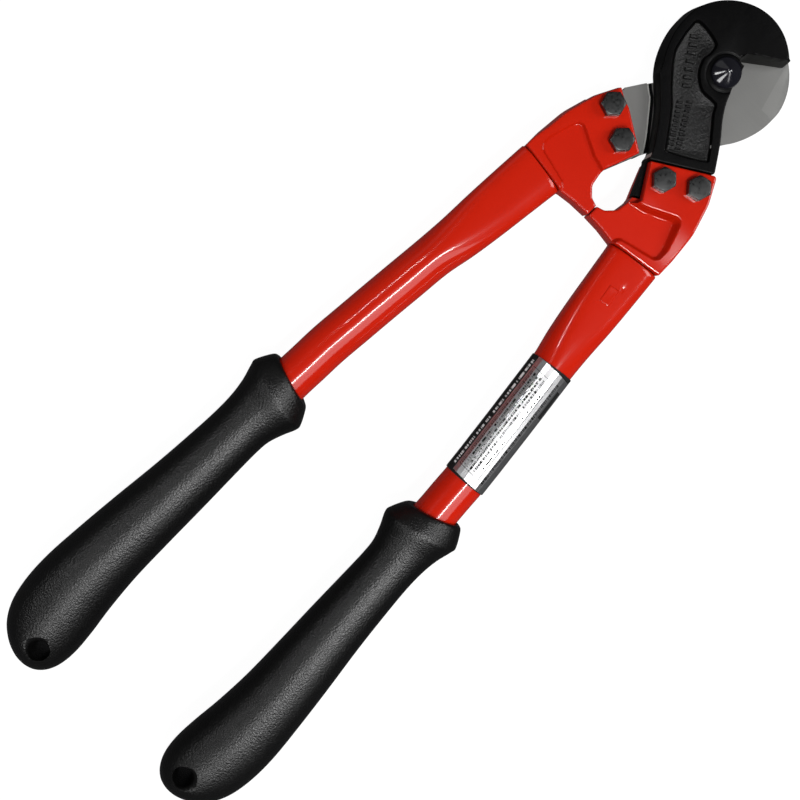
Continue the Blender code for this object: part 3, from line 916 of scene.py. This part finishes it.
# The tube's centre line: y and x.
TUBE_ROUTE = [
    (-90, 29.6), (-147, 37.8), (-180, 41.7), (-212, 45.2), (-237, 46.7), (-262, 47.4),
    (-335, 47.95),
]
# Places along Y of the sections at which the tube is round.
ROUND_FROM = (-149.0, -165.0, -180.0, -196.0, -212.0, -225.0, -237.0, -262.0, TUBE_END)


def tube_centre(y):
    heights = [-at for at, _ in TUBE_ROUTE]
    return float(np.interp(-y, heights, [x for _, x in TUBE_ROUTE]))


def round_sides(y, radius):
    """The tube's two sides at a place along Y, square to its centre line."""
    x = tube_centre(y)
    slope = math.atan2(tube_centre(y + 9) - tube_centre(y - 9), 18)
    dx, dy = radius * math.cos(slope), radius * -math.sin(slope)
    return ((x - dx, y - dy), (x + dx, y + dy))


def tube_stations():
    """Numbers of each section: inner x and y, outer x and y, half depth, power."""
    stations = [
        (17.1, -88.5, 43.5, -84.8, 7.4, 3.4),
        (19.6, -105.0, 44.9, -101.7, 7.9, 3.5),
        (22.0, -121.0, 46.1, -117.9, 8.8, 3.2),
        (24.6, -136.0, 47.0, -133.6, 9.8, 2.5),
    ]
    for y in ROUND_FROM:
        inner, outer = round_sides(y, TUBE_RADIUS)
        stations.append((*inner, *outer, TUBE_RADIUS, 2.0))
    return smooth(stations, 5)


def tube_skin(amount):
    """The tube's sections, moved in by an amount."""
    skins = []
    for ix, iy, ox, oy, depth_mm, power in tube_stations():
        skins.append(oval(*narrowed((ix, iy), (ox, oy), amount), depth_mm - amount, power))
    return skins


def tube(side, turned_over):
    outside, lining = tube_skin(0), tube_skin(TUBE_WALL)
    # The end's edge is rounded over by three rings, each set back a little more.
    lip = [tube_skin(amount)[0] for amount in (0.5, 0.2)]
    for ring, back in zip([*lip, outside[0]], (0.0, 0.1, 0.4)):
        for point in ring:
            point.y -= back
    bm = lofted([*lip, *outside, *lining[::-1]], closed=True)
    name = side + "_handle_tube"
    paint = red_paint(side + "_tube_red")
    made = add_object(name, bm, [paint], side + "_half", ROUND_SHARP)
    if side == "right":
        cut(made, [dent()])
        finish_mesh(made.data, ROUND_SHARP)
        stamped_window(made)
    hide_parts(side + "_tube")
    return settle(made, turned_over)


DENT_CENTRE, DENT_SURFACE = (35.2, -100.0), 8.02
DENT_RADIUS, DENT_DEPTH = 7.0, 0.4


def dent():
    """Cutter for a shallow round stake mark beside the stamped window."""
    bm = bmesh.new()
    bmesh.ops.create_uvsphere(bm, u_segments=48, v_segments=32, radius=DENT_RADIUS)
    height = DENT_SURFACE + (DENT_RADIUS - DENT_DEPTH)
    bmesh.ops.translate(bm, vec=(*DENT_CENTRE, height), verts=bm.verts)
    return bm


WINDOW = np.array((32.6, -106.6))
WINDOW_AHEAD, WINDOW_SIDE = np.array((0.16, -0.987)), np.array((0.987, 0.16))
WINDOW_HALF = (4.4, 2.6)
# Profile of the window's rim: height above the tube, and how far in from its outline.
WINDOW_RIM = ((-0.2, 0.0), (0.02, 0.0), (0.3, 0.35), (0.34, 0.6), (0.3, 1.0))


def stamped_window(tube_object):
    """Thin raised rectangle, pressed up through the flattened end of the tube."""
    points = [tuple(v.co) for v in tube_object.data.vertices]
    faces = [tuple(face.vertices) for face in tube_object.data.polygons]
    tree = BVHTree.FromPolygons(points, faces)
    sections = []
    for lift, shrink in WINDOW_RIM:
        long, wide = (half - shrink for half in WINDOW_HALF)
        corners = [(-long, -wide), (long, -wide), (long, wide), (-long, wide)]
        outline = [WINDOW + WINDOW_AHEAD * a + WINDOW_SIDE * b for a, b in corners]
        row = evenly(np.array(outline), 28)
        ring = []
        for x, y in row:
            hit = tree.ray_cast(Vector((x * MM, y * MM, 0.03)), Vector((0, 0, -1)))[0]
            ring.append((x, y, hit.z / MM + lift))
        sections.append(ring)
    paint = red_paint("window_red")
    bm = lofted(sections)
    made = add_object("stamped_window", bm, [paint], "right_half", HEX_SHARP)
    return settle(made)


def evenly(corners, count):
    """Closed ring divided into a count of equal steps."""
    closed = np.vstack([corners, corners[:1]])
    along = np.concatenate([[0], np.cumsum(np.hypot(*np.diff(closed, axis=0).T))])
    at = np.linspace(0, along[-1], count, endpoint=False)
    return np.stack([np.interp(at, along, closed[:, 0]), np.interp(at, along, closed[:, 1])], 1)


# The grip's sections: inner x and y, outer x and y, half depth.
GRIP_STATIONS = [
    (34.4, -240.0, 58.6, -231.9, 12.3),
    (32.2, -241.4, 60.9, -233.2, 13.5),
    (28.7, -248.4, 65.0, -240.4, 15.6),
    (28.6, -251.6, 64.8, -243.6, 15.6),
    (31.4, -257.8, 62.8, -251.5, 14.0),
    (33.9, -265.0, 61.8, -260.5, 13.2),
    (34.7, -273.0, 61.9, -271.5, 13.0),
    (34.9, -287.0, 63.0, -286.0, 13.6),
    (35.0, -308.0, 65.2, -308.0, 14.6),
    (35.3, -333.0, 68.4, -333.0, 15.8),
    (35.3, -355.0, 70.9, -355.0, 16.8),
    (34.1, -374.0, 72.6, -374.0, 17.4),
    (32.5, -388.0, 72.5, -388.0, 17.5),
    (31.7, -400.0, 70.6, -400.0, 17.2),
    (32.5, -408.5, 66.8, -408.5, 16.0),
    (34.6, -414.2, 61.5, -414.2, 13.2),
    (38.0, -418.2, 55.5, -418.2, 8.6),
    (42.5, -420.3, 50.0, -420.3, 3.6),
]


# Half of the hang hole's flared profile: radius and height from the middle plane.
HANG_FLARE = [
    (0, -26), (7.6, -26), (7.6, -16.6), (6.3, -15.9), (5.4, -14.9), (4.9, -13.6), (4.7, -12),
]
BORE_START = -243


def grip(side, turned_over):
    bore_skin = []
    for ix, iy, ox, oy, depth_mm, power in tube_stations():
        if iy < BORE_START:
            bore_skin.append(oval(*narrowed((ix, iy), (ox, oy), -GAP), depth_mm + GAP, power))
    floor = [point + Vector((0, -2.0, 0)) for point in bore_skin[-1]]
    mouth = oval((36.0, -239.9), (57.4, -232.6), TUBE_RADIUS + GAP)
    lip = oval((35.0, -239.6), (58.2, -231.9), TUBE_RADIUS + 1.1)
    outside = []
    for ix, iy, ox, oy, depth_mm in smooth(GRIP_STATIONS, 4):
        outside.append(oval((ix, iy), (ox, oy), depth_mm))
    tip = oval((45.6, -420.6), (46.8, -420.6), 0.6)
    bm = lofted([floor, *bore_skin[::-1], mouth, lip, *outside, tip])
    name = side + "_moulded_grip"
    plastic = grip_plastic(side + "_grip_black")
    made = add_object(name, bm, [plastic], side + "_half", ROUND_SHARP)
    profile = [*HANG_FLARE, *[(radius, -height) for radius, height in HANG_FLARE[::-1]]]
    cut(made, [turned(profile, HANG_HOLE, 48)])
    finish_mesh(made.data, ROUND_SHARP)
    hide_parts(side + "_grip")
    return settle(made, turned_over)


# Fasteners.
def pivot_bolt():
    """Bolt whose domed head rises to a blunt point; its flat end is what the tool rests on."""
    base = BLADE_HIGH + GAP
    point = [(0, 15.9), (0.5, 15.82), (1.2, 15.45), (2.4, 14.7), (4.0, 13.65)]
    shoulder = [(5.4, 12.75), (6.2, 12.15), (6.65, 11.75), (6.9, 11.35)]
    rim = [(PIVOT_HEAD_RADIUS, 10.95), (PIVOT_HEAD_RADIUS, base)]
    shank = [(PIVOT_RADIUS, base), (PIVOT_RADIUS, -MIDDLE + 0.5)]
    end = [(PIVOT_RADIUS - 0.5, -MIDDLE), (0, -MIDDLE)]
    bm = turned([*point, *shoulder, *rim, *shank, *end], sides=96)
    black = polished_black("pivot_black")
    made = add_object("domed_pivot_bolt", bm, [black], "right_half", DOME_SHARP)
    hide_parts("pivot_bolt")
    return settle(made)


def hex_radius(across, degrees):
    """Distance from a hexagon's centre to its side at an angle."""
    return across / 2 / math.cos(math.radians((degrees + 30) % 60 - 30))


def hex_ring(across, height, turn, chamfer, centre, sides=72):
    """Ring of a hexagon's side, lowered where the chamfer cuts its corners."""
    points = []
    for i in range(sides):
        degrees = 360 * i / sides
        radius = hex_radius(across, degrees)
        drop = max(0.0, radius - across / 2 * 0.97) * chamfer
        x, y = polar(radius, degrees + turn)
        points.append((x + centre[0], y + centre[1], height - drop))
    return points


def hex_bolt(name, centre, top, tail, turn, body):
    """Chamfered head with a flat round face, and its shank."""
    x, y = centre
    under = top + GAP
    face = under + BOLT_HEAD_HEIGHT

    def circle(radius, height):
        return [(px + x, py + y, height) for px, py in arc(radius, turn, turn + 355, 71)]

    rings = [
        circle(0.01, face),
        circle(4.55, face),
        circle(4.85, face - 0.05),
        hex_ring(BOLT_ACROSS, face - 0.1, turn, 0.55, centre),
        hex_ring(BOLT_ACROSS, under + 0.1, turn, 0.0, centre),
        hex_ring(BOLT_ACROSS - 0.2, under, turn, 0.0, centre),
        circle(BOLT_RADIUS, under),
        circle(BOLT_RADIUS, tail + 0.4),
        circle(BOLT_RADIUS - 0.4, tail),
        circle(0.01, tail),
    ]
    bm = lofted(rings)
    oxide = black_oxide(name + "_oxide")
    made = add_object(name + "_hex_bolt", bm, [oxide], body, HEX_SHARP)
    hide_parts(name + "_bolt")
    return settle(made)


def fasteners():
    turns = {"right_inner": 44, "right_outer": 42, "left_inner": 16, "left_outer": 14}
    for side in ("right", "left"):
        over = side == "left"
        top, bottom = (-FORK_LOW, -FORK_HIGH) if over else (FORK_HIGH, FORK_LOW)
        for where, (x, y) in BOLT_CENTRES.items():
            name = f"{side}_{where}"
            tail = bottom - 3 * GAP - LOCK_WASHER_THICKNESS - NUT_HEIGHT
            hex_bolt(name, (-x if over else x, y), top, tail, turns[name], side + "_half")


def recoated(node, material):
    """Gives a CAD node that is kept its own material."""
    node.data.materials.clear()
    node.data.materials.append(material)


def nuts_and_washers():
    """Keeps the CAD's nuts and washers, with softened edges."""
    for name, node in NODES.items():
        if name.endswith(("_nut", "_washer")):
            step = node.modifiers.new("edge", "BEVEL")
            step.width = 0.25 * MM
            step.segments = 2
            step.limit_method = "ANGLE"
            recoated(node, black_oxide(name + "_oxide", 0.36))


# Label.
# The label's frame on the tube: its upper end, the tube's axis there and how it leans, its radius.
LABEL_TOP, LABEL_AXIS, LABEL_LEAN, LABEL_RADIUS = -147.6, 37.85, 0.1105, 11.0
FAR = 99  # past any edge of the label
# Rows of dashes in the chart: from and to around the tube, and how closely they follow.
CHART_ROWS = [
    (25.0, 25.9, 2.4), (23.2, 24.2, 1.6), (21.4, 22.3, 2.1), (19.6, 20.6, 1.5), (17.6, 18.7, 2.6),
]


def label_foil():
    """Bright foil with a plain printed chart: dark bands, rules, rows of dashes and a solid block.

    Places on it are in millimetres: around the tube from its outer side, and down it.
    """
    n = Nodes("label_foil")
    split = n.add("SeparateXYZ")
    n.put(split.inputs[0], n.place())
    x, y, z = split.outputs
    down = n.math("SUBTRACT", LABEL_TOP, y)
    lean = n.math("MULTIPLY", down, LABEL_LEAN)
    across = n.math("SUBTRACT", n.math("SUBTRACT", x, LABEL_AXIS), lean)
    turn = n.math("ARCTAN2", n.math("SUBTRACT", z, MIDDLE), across)
    around = n.math("MULTIPLY", turn, LABEL_RADIUS)

    def band(value, low, high):
        above, below = n.math("GREATER_THAN", value, low), n.math("LESS_THAN", value, high)
        return n.math("MULTIPLY", above, below)

    def rule(low, high, start, end):
        return n.math("MULTIPLY", band(around, low, high), band(down, start, end))

    def dashes(row, low, high, start, end, density):
        joined = n.add("CombineXYZ")
        n.put(joined.inputs[0], n.math("MULTIPLY", down, density))
        joined.inputs[1].default_value = row * 7.3
        broken = n.math("GREATER_THAN", n.noise(joined.outputs[0], 1.0, 1), 0.5)
        return n.math("MULTIPLY", rule(low, high, start, end), broken)

    ink = [rule(-FAR, FAR, -FAR, 1.0), rule(-FAR, FAR, 66.2, FAR)]
    ink += [rule(27.6, FAR, -FAR, FAR), rule(-FAR, -14.0, -FAR, FAR)]
    ink += [rule(16.4, 16.65, 6, 62), rule(26.3, 26.5, 6, 62), rule(14.0, 14.25, 6, 62)]
    ink += [rule(16.4, 26.5, start, start + 0.25) for start in (6, 14.5, 61.8)]
    ink += [rule(5.0, 8.6, 7, 22), rule(3.2, 3.7, 1, 66)]
    for row, (low, high, density) in enumerate(CHART_ROWS):
        ink.append(dashes(row, low, high, 8, 61, density))
    ink += [dashes(7, 10.2, 12.0, 5, 63, 2.2), dashes(8, 14.9, 15.7, 14, 58, 0.9)]
    total = ink[0]
    for item in ink[1:]:
        total = n.math("MAXIMUM", total, item)
    light = dashes(9, 28.6, 30.2, 4, 64, 1.3)
    mottle = n.noise(n.place(), 0.3, 3)
    foil = n.mix(mottle, (0.74, 0.74, 0.75), (0.82, 0.82, 0.83))
    colour = n.mix(total, foil, (0.012, 0.012, 0.012))
    n.set(Base_Color=n.mix(light, colour, (0.6, 0.6, 0.6)))
    n.set(Metallic=n.math("SUBTRACT", 1.0, total), Specular_IOR_Level=0.06)
    n.set(Roughness=n.ramp(mottle, 0.3, 0.7, 0.28, 0.3))
    return n.material


def label():
    node = NODES["capacity_label"]
    recoated(node, label_foil())
    finish_mesh(node.data, ROUND_SHARP)


# Stage.
CAMERA_AT = (-0.047059, -0.185614, 0.48389)
CAMERA_TURN = (-5.7105, -1.9946, 43.777)


def camera():
    data = bpy.data.cameras.new("camera")
    data.lens = 45.0
    data.sensor_width = 36.0
    made = in_scene("camera", data)
    made.location = CAMERA_AT
    made.rotation_euler = [math.radians(a) for a in CAMERA_TURN]
    bpy.context.scene.camera = made


FLOOR_REACH = 4
FLOOR_HEIGHT = -0.0003


def floor():
    """Pale floor that glows, just below the object."""
    n = Nodes("pale_floor")
    cloud = n.noise(n.place(), 0.004, 2)
    n.set(Base_Color=n.mix(cloud, (0.06, 0.06, 0.06), (0.065, 0.065, 0.065)), Roughness=0.9)
    n.set(Specular_IOR_Level=0.1, Emission_Color=(1.0, 1.0, 1.0), Emission_Strength=0.97)
    corners = ((-1, -1), (1, -1), (1, 1), (-1, 1))
    points = [(x * FLOOR_REACH, y * FLOOR_REACH, FLOOR_HEIGHT) for x, y in corners]
    mesh = bpy.data.meshes.new("floor")
    mesh.from_pydata(points, [], [range(4)])
    mesh.materials.append(n.material)
    made = in_scene("floor", mesh)
    made.visible_glossy = False  # its glow would wash out the dark sides


def soft_box(name, location, size, radiance, aim=(0, -0.2, 0), down=False):
    """Rectangular light of a given radiance, aimed at a point or straight down."""
    data = bpy.data.lights.new(name, "AREA")
    data.shape = "RECTANGLE"
    data.size, data.size_y = size
    data.energy = radiance * math.pi * size[0] * size[1]
    made = in_scene(name, data)
    made.location = location
    if not down:
        ahead = Vector(aim) - Vector(location)
        made.rotation_euler = ahead.to_track_quat("-Z", "Y").to_euler()


def lights():
    world = bpy.data.worlds.new("studio")
    bpy.context.scene.world = world
    world.use_nodes = True
    world.node_tree.nodes["Background"].inputs["Color"].default_value = (0.06, 0.06, 0.062, 1)
    bpy.context.scene.view_settings.view_transform = "Standard"
    soft_box("wide", (1.08, -0.42, 1.2), (1.36, 0.66), 3.2, down=True)
    soft_box("long_strip", (0.35, -0.31, 1.2), (0.1, 0.62), 62, down=True)
    soft_box("short_strip", (-0.64, -0.07, 1.2), (0.025, 0.2), 75, down=True)
    soft_box("key", (0.95, 0.95, 1.2), (0.9, 0.9), 7.5)
    soft_box("fill", (-1.2, 0.5, 0.7), (0.9, 0.7), 0.25)
    soft_box("front_strip", (0.1, -0.95, 0.9), (0.4, 0.3), 8, (0, 0, 0))
    soft_box("corner_strip", (-0.75, -0.65, 0.9), (0.22, 0.25), 11, (0, 0, 0))


def main():
    blade("forged_front_blade", FRONT_EDGE, front_throat(), True, "right_half", False)
    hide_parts("front_blade")
    blade("forged_rear_blade", REAR_EDGE, rear_throat(), False, "left_half", True)
    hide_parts("rear_blade")
    for side in ("right", "left"):
        over = side == "left"
        head(side, over)
        tube(side, over)
        grip(side, over)
    pivot_bolt()
    fasteners()
    nuts_and_washers()
    label()
    camera()
    floor()
    lights()


main()
